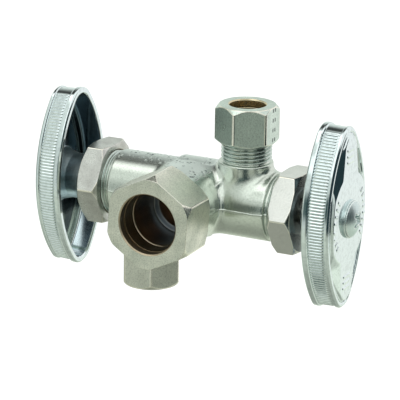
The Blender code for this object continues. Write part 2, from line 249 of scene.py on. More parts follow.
def hex_nut(face, back, af, corner_at, face_r, face_slope, back_r, back_slope, bore, axis, centre, corner_r=0.5):
    """A chamfered nut as one closed shell. bore runs from the face to the back."""
    theta, rh = hex_outline(af, corner_at, corner_r)
    big = af / 2 / math.cos(math.pi / 6)
    fz = (big - face_r) * face_slope + 0.35
    bz = (big - back_r) * back_slope + 0.35
    s = np.concatenate([np.linspace(0.12, fz, 22), np.linspace(fz, face - back - bz, 8)[1:],
                        np.linspace(face - back - bz, face - back - 0.12, 16)[1:]])
    cone = np.minimum(face_r + s / face_slope, back_r + (face - back - s) / back_slope)[:, None]
    r = smin(np.repeat(rh[None], len(s), 0), np.repeat(cone, len(rh), 1), 0.16)
    st = np.repeat((face - s)[:, None], len(rh), 1)
    rings_s, rings_r = [st], [r]
    # the two end faces, with a fine rounded edge
    for base, first, sgn in ((back, r[-1], 1.0), (face, r[0], -1.0)):
        pull = [(0.035, 0.035), (0.0, 0.12), (0.0, 0.2)]
        rows_s = [np.full(len(rh), base + sgn * a) for a, b in pull]
        rows_r = [first - b for a, b in pull]
        if base == face:
            rows_s, rows_r = rows_s[::-1], rows_r[::-1]
            rings_s.insert(0, np.array(rows_s))
            rings_r.insert(0, np.array(rows_r))
        else:
            rings_s.append(np.array(rows_s))
            rings_r.append(np.array(rows_r))
    line = rounded([(face, bore[0][1] + 1.0, 0)] + list(bore) + [(back, bore[-1][1] + 0.25, 0)])[1:-1]
    bs = np.repeat(line[::-1, :1], len(rh), 1)
    br = np.repeat(line[::-1, 1:], len(rh), 1)
    s_all = np.concatenate(rings_s + [bs])
    r_all = np.concatenate(rings_r + [br])
    th = np.repeat(theta[None], len(s_all), 0)
    verts, faces = grid(place(s_all, r_all, th, axis, centre), True)
    ring = np.repeat(np.arange(len(s_all)), len(rh))
    first_bore = len(s_all) - len(bs)
    mat = np.where((ring >= first_bore) & (ring < len(s_all) - 3), 1, 0)
    # rubbed edges, smoother and painted brighter as a painted highlight: where flats meet, where flats meet the
    # chamfers, and the rims of the end faces
    hexr = np.repeat(rh[None], len(s), 0)
    cones = np.repeat(cone, len(rh), 1)
    low_rows = rings_s[0].shape[0]
    arc_from = math.hypot(af / 2, big / 2 - corner_r * math.tan(math.pi / 6)) - 0.012
    edge_wear_and_highlight = np.zeros(s_all.shape, bool)
    edge_wear_and_highlight[low_rows:low_rows + len(s)] = (np.abs(hexr - cones) < 0.17) | ((hexr > arc_from) & (hexr < cones + 0.05))
    edge_wear_and_highlight[low_rows - 1:low_rows + 1] = True
    quad_worn = edge_wear_and_highlight & np.roll(edge_wear_and_highlight, -1, 1)
    quad_worn = quad_worn | np.roll(quad_worn, -1, 0) & edge_wear_and_highlight
    mat = np.where(quad_worn.ravel() & (mat == 0), 2, mat)
    return verts, faces, mat


def nets(field, lo, hi, h):
    """Surface nets of field(x, y, z) < 0, pulled onto the surface."""
    axes = [np.arange(lo[i], hi[i] + h, h) for i in range(3)]
    gx, gy, gz = np.meshgrid(*axes, indexing="ij", sparse=True)
    f = field(gx, gy, gz)
    f = np.where(np.abs(f) < 1e-7, 1e-7, f)
    shape = tuple(n - 1 for n in f.shape)
    acc = np.zeros(shape + (3,))
    cnt = np.zeros(shape)
    inside = f < 0
    crossings = []
    for ax in range(3):
        a = [slice(None)] * 3
        b = [slice(None)] * 3
        a[ax], b[ax] = slice(0, -1), slice(1, None)
        cross = inside[tuple(a)] != inside[tuple(b)]
        idx = np.argwhere(cross)
        fa, fb = f[tuple(a)][cross], f[tuple(b)][cross]
        t = fa / (fa - fb)
        pos = idx.astype(float)
        pos[:, ax] += t
        others = [k for k in range(3) if k != ax]
        ok = np.ones(len(idx), bool)
        for o in others:
            ok &= (idx[:, o] > 0) & (idx[:, o] < f.shape[o] - 1)
        idx, pos, sign = idx[ok], pos[ok], inside[tuple(a)][cross][ok]
        cells = []
        for du, dv in ((-1, -1), (0, -1), (0, 0), (-1, 0)):
            c = idx.copy()
            c[:, others[0]] += du
            c[:, others[1]] += dv
            cells.append(c)
            np.add.at(acc, tuple(c.T), pos)
            np.add.at(cnt, tuple(c.T), 1)
        crossings.append((ax, sign, cells))
    used = cnt > 0
    number = np.full(shape, -1, dtype=np.int64)
    number[used] = np.arange(used.sum())
    verts = acc[used] / cnt[used][:, None]
    verts = verts * h + np.array([a[0] for a in axes])
    faces = []
    for ax, sign, cells in crossings:
        q = np.stack([number[tuple(c.T)] for c in cells], -1)
        flip = sign if ax != 1 else ~sign
        q[~flip] = q[~flip][:, ::-1]
        faces.append(q)
    faces = np.concatenate(faces)
    e = 0.02
    for _ in range(3):
        x, y, z = verts.T
        d = field(x, y, z)
        g = np.stack([field(x + e, y, z) - field(x - e, y, z), field(x, y + e, z) - field(x, y - e, z),
                      field(x, y, z + e) - field(x, y, z - e)], -1) / (2 * e)
        step = (d / np.maximum((g * g).sum(-1), 0.3))[:, None] * g
        size = np.linalg.norm(step, axis=1, keepdims=True)
        verts = verts - step * np.minimum(1, 0.5 * h / np.maximum(size, 1e-9))
    return verts, faces


# ------------------------------------------------------------------- materials
def nodes_of(name, colour, rough, metallic):
    mat = bpy.data.materials.new(name)
    mat.use_nodes = True
    tree = mat.node_tree
    bsdf = tree.nodes["Principled BSDF"]
    bsdf.inputs["Metallic"].default_value = metallic
    bsdf.inputs["Roughness"].default_value = rough
    bsdf.inputs["Base Color"].default_value = (*colour, 1)
    mat.diffuse_color = (*colour, 1)
    return mat, tree, bsdf


def node(tree, kind, links=(), **values):
    n = tree.nodes.new(kind)
    for key, val in values.items():
        if key.startswith("in_"):
            slot = key[3:]
            n.inputs[int(slot) if slot.isdigit() else slot.replace("_", " ")].default_value = val
        else:
            setattr(n, key, val)
    for src, dst in links:
        tree.links.new(src, n.inputs[dst])
    return n


def ramp(tree, src, stops):
    r = node(tree, "ShaderNodeValToRGB", [(src, 0)])
    el = r.color_ramp.elements
    while len(el) > 1:
        el.remove(el[0])
    el[0].position, el[0].color = stops[0][0], (*([stops[0][1]] * 3), 1) if np.isscalar(stops[0][1]) else (*stops[0][1], 1)
    for pos, val in stops[1:]:
        e = el.new(pos)
        e.color = (val, val, val, 1) if np.isscalar(val) else (*val, 1)
    return r.outputs[0]


def mix_colour(tree, fac, a, b, mode="MIX"):
    m = node(tree, "ShaderNodeMix", data_type="RGBA", blend_type=mode)
    for socket, val in ((m.inputs[0], fac), (m.inputs[6], a), (m.inputs[7], b)):
        if hasattr(val, "is_linked"):
            tree.links.new(val, socket)
        elif np.isscalar(val):
            socket.default_value = val
        else:
            socket.default_value = (*val, 1)
    return m.outputs[2]


def math_node(tree, op, a, b=None, c=None, clamp=False):
    m = node(tree, "ShaderNodeMath", operation=op, use_clamp=clamp)
    for i, val in enumerate((a, b, c)):
        if val is None:
            continue
        if hasattr(val, "is_linked"):
            tree.links.new(val, m.inputs[i])
        else:
            m.inputs[i].default_value = val
    return m.outputs[0]


def plated(name, colour, second, rough, rough_span, grain=2600, grain_depth=0.006, lines=None, edge=None,
           metallic=1.0, blotch=90, pits=None, seam=False, groove_shade=None,
           speck=0.86):
    """Plated or bare metal: uneven tone, a fine skin, drawn or turned lines, edges rubbed smoother and painted brighter
    as a painted highlight, hollows optionally painted dark as painted shade.
    """
    mat, t, bsdf = nodes_of(name, colour, rough, metallic)
    at = node(t, "ShaderNodeTexCoord").outputs["Object"]
    big = node(t, "ShaderNodeTexNoise", [(at, "Vector")], in_Scale=blotch, in_Detail=5.0, in_Roughness=0.6).outputs[0]
    fine = node(t, "ShaderNodeTexNoise", [(at, "Vector")], in_Scale=grain, in_Detail=3.0, in_Roughness=0.6).outputs[0]
    tone = ramp(t, big, [(0.3, 0.0), (0.7, 1.0)])
    col = mix_colour(t, tone, colour, second)
    dots = ramp(t, fine, [(0.3, speck), (0.56, 1.0)])
    col = mix_colour(t, 1.0, col, dots, "MULTIPLY")
    edge_wear_and_highlight = None
    if edge is not None or groove_shade is not None:
        point = node(t, "ShaderNodeNewGeometry").outputs["Pointiness"]
    # painted shade: hollows such as thread roots are painted dark
    if groove_shade is not None:
        shaded_hollow = ramp(t, point, [(0.44, 1.0), (0.498, 0.0)])
        col = mix_colour(t, shaded_hollow, col, groove_shade)
    if edge is not None:
        # rubbed edges: lower roughness from wear, and a colour painted brighter as a painted highlight
        edge_wear_and_highlight = ramp(t, point, [(0.504, 0.0), (0.516, 1.0)])
        edge_wear_and_highlight = math_node(t, "MULTIPLY", edge_wear_and_highlight, ramp(t, big, [(0.25, 0.55), (0.6, 1.0)]))
        col = mix_colour(t, edge_wear_and_highlight, col, edge)
    rough_src = math_node(t, "MULTIPLY_ADD", tone, rough_span, rough - rough_span / 2)
    rough_src = math_node(t, "MULTIPLY_ADD", fine, rough_span * 0.8, rough_src, clamp=True)
    if edge_wear_and_highlight is not None:
        rough_src = math_node(t, "MULTIPLY_ADD", edge_wear_and_highlight, -0.16, rough_src, clamp=True)
    height = math_node(t, "MULTIPLY", fine, grain_depth)
    if lines is not None:
        scale, depth = lines
        stretched = node(t, "ShaderNodeMapping", [(at, "Vector")])
        stretched.inputs["Scale"].default_value = scale
        drawn = node(t, "ShaderNodeTexNoise", [(stretched.outputs[0], "Vector")], in_Scale=1.0, in_Detail=3.0).outputs[0]
        height = math_node(t, "MULTIPLY_ADD", drawn, depth, height)
    if pits is not None:
        # open casting pits, deepest where the core was hottest, along the top and bottom pads
        axis = node(t, "ShaderNodeSeparateXYZ", [(at, "Vector")])
        up = math_node(t, "ABSOLUTE", axis.outputs["Z"])
        where = node(t, "ShaderNodeMapRange", [(up, "Value")], in_1=0.0086, in_2=0.0096, clamp=True).outputs[0]
        below = node(t, "ShaderNodeMapRange", [(up, "Value")], in_1=0.0125, in_2=0.0118, clamp=True).outputs[0]
        where = math_node(t, "MULTIPLY", where, below)
        across = math_node(t, "MULTIPLY", axis.outputs["X"], math_node(t, "SIGN", axis.outputs["Z"]))
        clear = node(t, "ShaderNodeMapRange", [(across, "Value")], in_1=0.0072, in_2=0.0062, clamp=True).outputs[0]
        where = math_node(t, "MULTIPLY", where, clear)
        cells = node(t, "ShaderNodeTexVoronoi", [(at, "Vector")], in_Scale=pits).outputs["Distance"]
        rough_skin = node(t, "ShaderNodeTexNoise", [(at, "Vector")], in_Scale=pits * 1.1, in_Detail=6.0,
                          in_Roughness=0.7).outputs[0]
        hole = ramp(t, cells, [(0.2, 1.0), (0.4, 0.0)])
        some = ramp(t, node(t, "ShaderNodeTexNoise", [(at, "Vector")], in_Scale=420.0, in_Detail=1.0).outputs[0],
                    [(0.44, 0.0), (0.54, 1.0)])
        hole = math_node(t, "MULTIPLY", hole, some)
        deep = math_node(t, "MULTIPLY", math_node(t, "MULTIPLY_ADD", hole, -0.5, math_node(t, "MULTIPLY", rough_skin, 0.1)), where)
        height = math_node(t, "ADD", height, deep)
        everywhere = math_node(t, "MULTIPLY", rough_skin, 0.014)
        height = math_node(t, "ADD", height, everywhere)
        rough_src = math_node(t, "MULTIPLY_ADD", where, 0.14, rough_src, clamp=True)
        # painted reflection: the top and bottom pads are painted lighter; painted shade: the pits are painted dark
        col = mix_colour(t, math_node(t, "MULTIPLY", where, 0.75), col, (0.88, 0.95, 0.93))
        shade = mix_colour(t, math_node(t, "MULTIPLY", hole, where), col, (0.1, 0.14, 0.14))
        col = shade
    if seam:
        axis = node(t, "ShaderNodeSeparateXYZ", [(at, "Vector")])
        z = axis.outputs["Z"]
        wave = node(t, "ShaderNodeTexNoise", [(at, "Vector")], in_Scale=260.0, in_Detail=2.0).outputs[0]
        z = math_node(t, "ADD", z, math_node(t, "MULTIPLY_ADD", wave, 0.0005, -0.00025))
        band = node(t, "ShaderNodeMapRange", [(math_node(t, "ABSOLUTE", z), "Value")], in_1=0.00032, in_2=0.00008,
                    clamp=True).outputs[0]
        height = math_node(t, "MULTIPLY_ADD", band, 0.13, height)
    bump = node(t, "ShaderNodeBump", [(height, "Height")], in_Strength=1.0, in_Distance=0.001)
    t.links.new(bump.outputs[0], bsdf.inputs["Normal"])
    t.links.new(col, bsdf.inputs["Base Color"])
    t.links.new(rough_src, bsdf.inputs["Roughness"])
    return mat


def moulded(name, colour, second, rough):
    mat, t, bsdf = nodes_of(name, colour, rough, 0.0)
    at = node(t, "ShaderNodeTexCoord").outputs["Object"]
    fine = node(t, "ShaderNodeTexNoise", [(at, "Vector")], in_Scale=3200.0, in_Detail=4.0).outputs[0]
    big = node(t, "ShaderNodeTexNoise", [(at, "Vector")], in_Scale=400.0, in_Detail=3.0).outputs[0]
    t.links.new(mix_colour(t, big, colour, second), bsdf.inputs["Base Color"])
    t.links.new(math_node(t, "MULTIPLY_ADD", fine, 0.2, rough - 0.1, clamp=True), bsdf.inputs["Roughness"])
    bump = node(t, "ShaderNodeBump", [(fine, "Height")], in_Strength=0.5, in_Distance=0.00004)
    t.links.new(bump.outputs[0], bsdf.inputs["Normal"])
    return mat


BODY = plated("body_plated", (0.735, 0.785, 0.725), (0.67, 0.725, 0.66), 0.21, 0.06, grain=1900, grain_depth=0.008,
              blotch=120, pits=900.0, seam=True)
# the thread roots are painted dark, a painted shade
BODY_THREAD = plated("body_thread_plated", (0.66, 0.73, 0.69), (0.53, 0.61, 0.58), 0.18, 0.08, grain=2600,
                     grain_depth=0.01, groove_shade=(0.05, 0.075, 0.07))


def bored(name):
    """Bare machined brass, painted darker towards the back of the inlet as painted shade, warmer on the far wall and
    lighter in the outlets.
    """
    mat = plated(name, (0.52, 0.44, 0.33), (0.4, 0.34, 0.26), 0.3, 0.1, grain=2200, grain_depth=0.01)
    t = mat.node_tree
    bsdf = t.nodes["Principled BSDF"]
    tone = bsdf.inputs["Base Color"].links[0].from_socket
    place_at = node(t, "ShaderNodeSeparateXYZ", [(node(t, "ShaderNodeTexCoord").outputs["Object"], 0)])
    # painted shade: the bore is darker towards the back of the inlet
    depth = node(t, "ShaderNodeMapRange", [(place_at.outputs["Y"], "Value")], in_1=0.008, in_2=0.013, clamp=True)
    dark = mix_colour(t, depth.outputs[0], tone, (0.3, 0.33, 0.36))
    # a warmer, lighter brass patch on the far wall
    far = node(t, "ShaderNodeMapRange", [(place_at.outputs["Y"], "Value")], in_1=0.021, in_2=0.03, clamp=True)
    dark = mix_colour(t, far.outputs[0], dark, (0.6, 0.38, 0.24))
    tall = node(t, "ShaderNodeMapRange", [(math_node(t, "ABSOLUTE", place_at.outputs["Z"]), "Value")],
                in_1=0.0105, in_2=0.0125, clamp=True)
    outlet_tone = mix_colour(t, tall.outputs[0], dark, (0.72, 0.58, 0.36))
    t.links.new(outlet_tone, bsdf.inputs["Base Color"])
    return mat


INSIDE = bored("machined_brass_inside")
SLEEVE = plated("sleeve_brass", (0.6, 0.47, 0.3), (0.46, 0.36, 0.23), 0.26, 0.08)
OUTLET_SLEEVE = plated("outlet_sleeve_brass", (0.8, 0.68, 0.45), (0.62, 0.56, 0.4), 0.24, 0.08)
INLET_NUT = plated("inlet_nut_satin", (0.9, 0.895, 0.79), (0.66, 0.685, 0.6), 0.3, 0.1, grain=2600, grain_depth=0.024,
                   lines=((2600.0, 90.0, 2600.0), 0.02), blotch=190, speck=0.68)
OUTLET_NUT = plated("outlet_nut_satin", (0.78, 0.785, 0.695), (0.64, 0.65, 0.57), 0.43, 0.08, grain=2600,
                    grain_depth=0.02, lines=((2400.0, 2400.0, 80.0), 0.018), blotch=170, speck=0.7)


def stamped(name):
    """The same satin nut with four rows of plain punched ticks down its right flat."""
    mat = plated(name, (0.77, 0.875, 0.8), (0.64, 0.74, 0.675), 0.27, 0.08, grain=2600, grain_depth=0.02,
                 lines=((2400.0, 2400.0, 80.0), 0.018), blotch=170, speck=0.7)
    t = mat.node_tree
    bsdf = t.nodes["Principled BSDF"]
    tone = bsdf.inputs["Base Color"].links[0].from_socket
    x, y, z = node(t, "ShaderNodeSeparateXYZ", [(node(t, "ShaderNodeTexCoord").outputs["Object"], 0)]).outputs
    flat = math_node(t, "GREATER_THAN", x, (OUTLET_X + 7.7) * MM)
    row = math_node(t, "FRACT", math_node(t, "MULTIPLY", math_node(t, "SUBTRACT", z, 0.01775), 1 / 0.0028))
    row = node(t, "ShaderNodeMapRange", [(math_node(t, "ABSOLUTE", math_node(t, "SUBTRACT", row, 0.5)), "Value")],
               in_1=0.22, in_2=0.16, clamp=True).outputs[0]
    far = math_node(t, "ABSOLUTE", math_node(t, "SUBTRACT", y, (STEM_Y + 0.4) * MM))
    col_at = math_node(t, "ABSOLUTE", math_node(t, "SUBTRACT", far, 0.00062))
    col_at = node(t, "ShaderNodeMapRange", [(col_at, "Value")], in_1=0.00036, in_2=0.00024, clamp=True).outputs[0]
    mark = math_node(t, "MULTIPLY", math_node(t, "MULTIPLY", row, col_at), flat)
    t.links.new(mix_colour(t, mark, tone, (0.05, 0.07, 0.07)), bsdf.inputs["Base Color"])
    return mat


STAMPED_NUT = stamped("outlet_nut_stamped")
PACKING_NUT = plated("packing_nut_satin", (0.83, 0.83, 0.8), (0.72, 0.73, 0.7), 0.2, 0.06, grain=2600,
                     grain_depth=0.006, lines=((80.0, 2400.0, 2400.0), 0.008), speck=0.9)
DULL_PACKING_NUT = plated("packing_nut_dull", (0.76, 0.765, 0.735), (0.56, 0.555, 0.53), 0.26, 0.1, grain=2600,
                          grain_depth=0.012, lines=((80.0, 2400.0, 2400.0), 0.012), blotch=230, speck=0.78)
# nut edges: smoother from wear, and painted brighter as a painted highlight
EDGE = plated("rubbed_edge_painted_highlight", (0.98, 0.955, 0.87), (0.9, 0.86, 0.74), 0.15, 0.06, grain=3000, grain_depth=0.006)
NUT_BORE = plated("nut_bore_plated", (0.66, 0.56, 0.4), (0.5, 0.42, 0.3), 0.34, 0.1)
STEM = plated("stem_plated", (0.66, 0.66, 0.62), (0.58, 0.58, 0.54), 0.24, 0.08, lines=((80.0, 1800.0, 1800.0), 0.004))
BRASS = plated("turned_brass", (0.78, 0.6, 0.3), (0.66, 0.48, 0.22), 0.28, 0.08)
CHROME = plated("handle_polished", (0.82, 0.9, 0.915), (0.79, 0.875, 0.89), 0.07, 0.05, grain=900, grain_depth=0.003,
                blotch=60)


def dish_shade_and_reflection(name):
    """Inside of the dish: painted dark as painted shade, and painted light low down as a painted reflection."""
    mat = plated(name, (0.16, 0.21, 0.235), (0.1, 0.145, 0.17), 0.1, 0.06, grain=1300, grain_depth=0.003, blotch=140)
    t = mat.node_tree
    bsdf = t.nodes["Principled BSDF"]
    tone = bsdf.inputs["Base Color"].links[0].from_socket
    z = node(t, "ShaderNodeSeparateXYZ", [(node(t, "ShaderNodeTexCoord").outputs["Object"], 0)]).outputs["Z"]
    # painted reflection: the dish is lighter low down
    low = node(t, "ShaderNodeMapRange", [(z, "Value")], in_1=-0.0115, in_2=-0.0135, clamp=True).outputs[0]
    t.links.new(mix_colour(t, low, tone, (0.8, 0.87, 0.9)), bsdf.inputs["Base Color"])
    return mat


DISH = dish_shade_and_reflection("handle_inside")
# lit and shaded copies of one hub finish: the left hub is painted light, the right hub is painted dark as painted shade
HUB = plated("handle_hub", (0.84, 0.95, 0.96), (0.72, 0.84, 0.86), 0.3, 0.1, grain=1500, grain_depth=0.01)
SHADED_HUB = plated("handle_hub_painted_shade", (0.34, 0.41, 0.43), (0.24, 0.3, 0.32), 0.3, 0.1, grain=1500, grain_depth=0.01)
# the screw's edges are painted brighter, partly wear, partly a painted highlight
SCREW = plated("screw_plated", (0.76, 0.86, 0.86), (0.68, 0.81, 0.81), 0.37, 0.08, grain=2400, grain_depth=0.004,
               edge=(0.9, 0.95, 0.94))
RUBBER = moulded("seat_rubber", (0.02, 0.02, 0.021), (0.035, 0.034, 0.033), 0.6)
GRAPHITE = moulded("packing_graphite", (0.05, 0.05, 0.052), (0.09, 0.09, 0.09), 0.5)


# ------------------------------------------------------------------ valve body
def cyl(r, radius, s, s0, s1, k):
    return smax(r - radius, np.maximum(s0 - s, s - s1), k)


def bores(x, y, z):
    ry, rx = np.hypot(x, z), np.hypot(y, z)
    s = -y
    flare = np.maximum(0.0, s - 23.9)
    c = smax(ry - 8.05 - flare, np.maximum(12.0 - s, s - 26.0), 0.1)
    c = smin(c, cyl(ry, 6.3, s, -3.4, 13.0, 0.6), 0.1)
    for sg in (1.0, -1.0):
        px, pz = sg * x, sg * z
        c = smin(c, cyl(rx, 3.6, px, 0.3, 9.8, 0.1), 0.1)
        ring = np.maximum(px - 9.5, rx - 4.5)
        c = smin(c, smax(cyl(rx, 6.1, px, 8.5, 18.0, 0.4), -ring, 0.15), 0.1)
        c = smin(c, cyl(rx, 5.35, px, 17.0, 27.5, 0.1), 0.1)
        c = smin(c, cyl(rx, 7.0, px, 26.7, 31.0, 0.1), 0.1)
        rz = np.hypot(px - OUTLET_X, y)
        c = smin(c, cyl(rz, 3.2, pz, 1.3, 17.0, 0.1), 0.1)
        flare = np.maximum(0.0, pz - 21.7)
        c = smin(c, smax(rz - 4.85 - flare, np.maximum(15.5 - pz, pz - 24.0), 0.1), 0.1)
    return c


def casting(x, y, z):
    ry, rx = np.hypot(x, z), np.hypot(y, z)
    s = -y
    d = cyl(rx, 9.8, x, -24.3, 24.3, 0.5)
    for sg in (1.0, -1.0):
        px, pz = sg * x, sg * z
        pad = smax(cyl(rx, 10.75, px, -5.9, 10.5, 0.7), 6.4 - pz, 1.2)
        d = smin(d, pad, 0.7)
    d = smin(d, cyl(ry, 11.2, s, 4.5, 17.3, 0.5), 2.2)
    for sg in (1.0, -1.0):
        px, pz = sg * x, sg * z
        d = smin(d, cyl(np.hypot(px - OUTLET_X, y), 7.6, pz, 1.0, 12.2, 0.4), 2.4)
    d = smin(d, cyl(rx, 8.75, x, -29.2, 29.2, 0.4), 0.2)
    d = smin(d, cyl(ry, 9.55, s, 2.0, 24.2, 0.5), 0.2)
    for sg in (1.0, -1.0):
        px, pz = sg * x, sg * z
        d = smin(d, cyl(np.hypot(px - OUTLET_X, y), 6.5, pz, 4.0, 22.6, 0.4), 0.2)
    return smax(d, -bores(x, y, z), 0.14)


body = Build()
cell = 0.36
bv, bf = nets(casting, (-30.0, -25.2, -23.6), (30.0, 11.9, 23.6), cell)
mid_face = bv[bf].mean(1)
inside = bores(*mid_face.T) < 0.22
body.add(bv + CENTRE, bf, inside.astype(int))
top_at = CENTRE + np.array([OUTLET_X, 0, 0])
for turn in (False, True):
    v, f = thread(Z_UP, top_at, 12.35, 22.35, 6.42, 7.14, 1.058, 6.1)
    body.add(v, f, 2, turn)
    v, f = thread(X_OUT, CENTRE, 24.6, 29.0, 8.72, 9.2, 1.058, 8.3, n=128)
    body.add(v, f, 2, turn)
v, f = thread(Y_IN, CENTRE, 17.6, 24.0, 9.5, 10.2, 1.411, 9.2, n=128)
body.add(v, f, 2)
body.make("valve_body_casting", "root", ["valve_body"], [BODY, INSIDE, BODY_THREAD])

# ----------------------------------------------------------------- inlet joint
nut = Build()
v, f, m = hex_nut(31.8, 17.7, 23.8, math.radians(-4.3), 12.75, 2.6, 12.4, 1.0,
                  [(31.8, 8.75, 0.12), (31.45, 8.4, 0.12), (29.2, 8.4, 0.15), (27.6, 10.4, 0.2), (17.7, 10.45, 0.12)],
                  Y_IN, CENTRE, 0.7)
nut.add(v, f, m)
nut.make("inlet_compression_nut", "inlet_nut", ["inlet_nut"], [INLET_NUT, NUT_BORE, EDGE])

ring = Build()
v, f = lathe([(24.55, 8.1), (24.55, 8.9), (25.7, 9.6, 0.5), (27.1, 9.6, 0.5), (28.85, 8.7, 0.08), (28.85, 8.36, 0.05)],
             Y_IN, CENTRE, closed=True)
ring.add(v, f)
ring.make("inlet_compression_sleeve", "inlet_sleeve", ["inlet_sleeve"], [SLEEVE])

# --------------------------------------------------------------- outlet joints
for side, turn, corner in (("top", False, -90.9), ("bottom", True, -117.0)):
    nut = Build()
    v, f, m = hex_nut(28.5, 17.7, 15.875, math.radians(corner), 7.85, 1.1, 7.55, 0.62,
                      [(28.5, 5.4, 0.1), (28.15, 5.1, 0.1), (26.5, 5.1, 0.1), (25.3, 7.28, 0.15), (17.7, 7.3, 0.1)],
                      Z_UP, top_at, 0.85)
    nut.add(v, f, m, turn)
    nut.make(side + "_outlet_compression_nut", side + "_nut", [side + "_outlet_nut"],
             [OUTLET_NUT if turn else STAMPED_NUT, OUTLET_SLEEVE, EDGE])
    ring = Build()
    v, f = lathe([(22.95, 4.95), (22.95, 5.5), (23.8, 6.3, 0.4), (24.9, 6.3, 0.4), (26.15, 5.45), (26.15, 4.95)],
                 Z_UP, top_at, n=80, closed=True)
    ring.add(v, f, 0, turn)
    ring.make(side + "_outlet_compression_sleeve", side + "_sleeve", [side + "_outlet_sleeve"], [OUTLET_SLEEVE])

# -------------------------------------------------------------------- handwheel
HALF_W, HALF_H, SIDE_R = 14.1, 26.4, 36.5
SIDE_C = SIDE_R - HALF_W
TIP_R = (SIDE_R ** 2 - SIDE_C ** 2 - HALF_H ** 2) / (2 * (SIDE_R - HALF_H))
TIP_Z = HALF_H - TIP_R
JOIN = math.acos(SIDE_C / math.hypot(SIDE_C, TIP_Z))
KNURL = 0.9


def oval_samples(step):
    """Arc centre, radius, angle and arc length of points around the oval, evenly spaced."""
    side_len, tip_len = SIDE_R * JOIN * 2, TIP_R * (math.pi / 2 - JOIN) * 2
    total = 2 * (side_len + tip_len)
    n = int(round(total / KNURL / 2)) * 2 * step
    rows = []
    for i in range(n):
        s = total * i / n + 1e-9
        half, s2 = divmod(s, total / 2)
        if s2 < side_len / 2:
            cy, cz, r, a = -SIDE_C, 0.0, SIDE_R, s2 / SIDE_R
        elif s2 < side_len / 2 + tip_len:
            cy, cz, r, a = 0.0, TIP_Z, TIP_R, JOIN + (s2 - side_len / 2) / TIP_R
        else:
            cy, cz, r, a = SIDE_C, 0.0, SIDE_R, math.pi - (side_len + tip_len - s2) / SIDE_R
        if half:
            cy, cz, a = -cy, -cz, a + math.pi
        rows.append((cy, cz, r, a, s))
    return np.array(rows)


def oval_distance(y, z):
    y, z = np.abs(y), np.abs(z)
    beyond = (y + SIDE_C) * TIP_Z < z * SIDE_C
    side = np.hypot(y + SIDE_C, z) - SIDE_R
    tip = np.hypot(y, z - TIP_Z) - TIP_R
    return np.where(beyond, tip, side)


def step01(x, a, b):
    t = np.clip((x - a) / (b - a), 0, 1)
    return t * t * (3 - 2 * t)


def face_height(y, z):
    """The pressed face: a middle disc and a tongue up each lobe, raised above a groove inside the lip."""
    d = -(oval_distance(y, z) + 2.0)
    rho, az = np.hypot(y, z), np.abs(z)
    width = np.interp(az, [10.0, 14.3, 18.7, 22.0, 23.6, 24.4], [5.9, 5.1, 4.3, 3.7, 3.0, 1.6])
    tongue = np.maximum(np.abs(y) - width, az - 24.3)
    edge = smin((rho - 12.9) * 1.4, tongue, 1.0)
    top = 46.25 - 0.0006 * rho * rho
    raised = smin(smax((3.4 - edge) / 3.6, 0.0 * edge, 0.1), 1.0 + 0.0 * edge, 0.12)
    x = 44.35 + (top - 44.35) * raised * step01(d, -0.2, 0.9) + 0.77 * (1 - step01(d, 0.0, 0.5))
    # plain raised ticks in place of the cast wording
    ang = np.arctan2(z, y)
    beat = np.abs(((ang * 10.4 / 1.9) % 1.0) - 0.5)
    ticks = (step01(rho, 9.3, 9.6) * (1 - step01(rho, 11.0, 11.3))) * (1 - step01(beat, 0.12, 0.24))
    ticks = ticks * (1 - step01(np.abs(np.sin(ang)), 0.62, 0.72))
    bars = np.abs(((az - 15.6) / 1.7) % 1.0 - 0.5)
    bars = (1 - step01(bars, 0.12, 0.26)) * (1 - step01(np.abs(y + 0.6), 2.1, 2.4))
    bars = bars * step01(az, 15.6, 15.8) * (1 - step01(az, 20.6, 20.8))
    return x + 0.2 * np.maximum(ticks, bars)


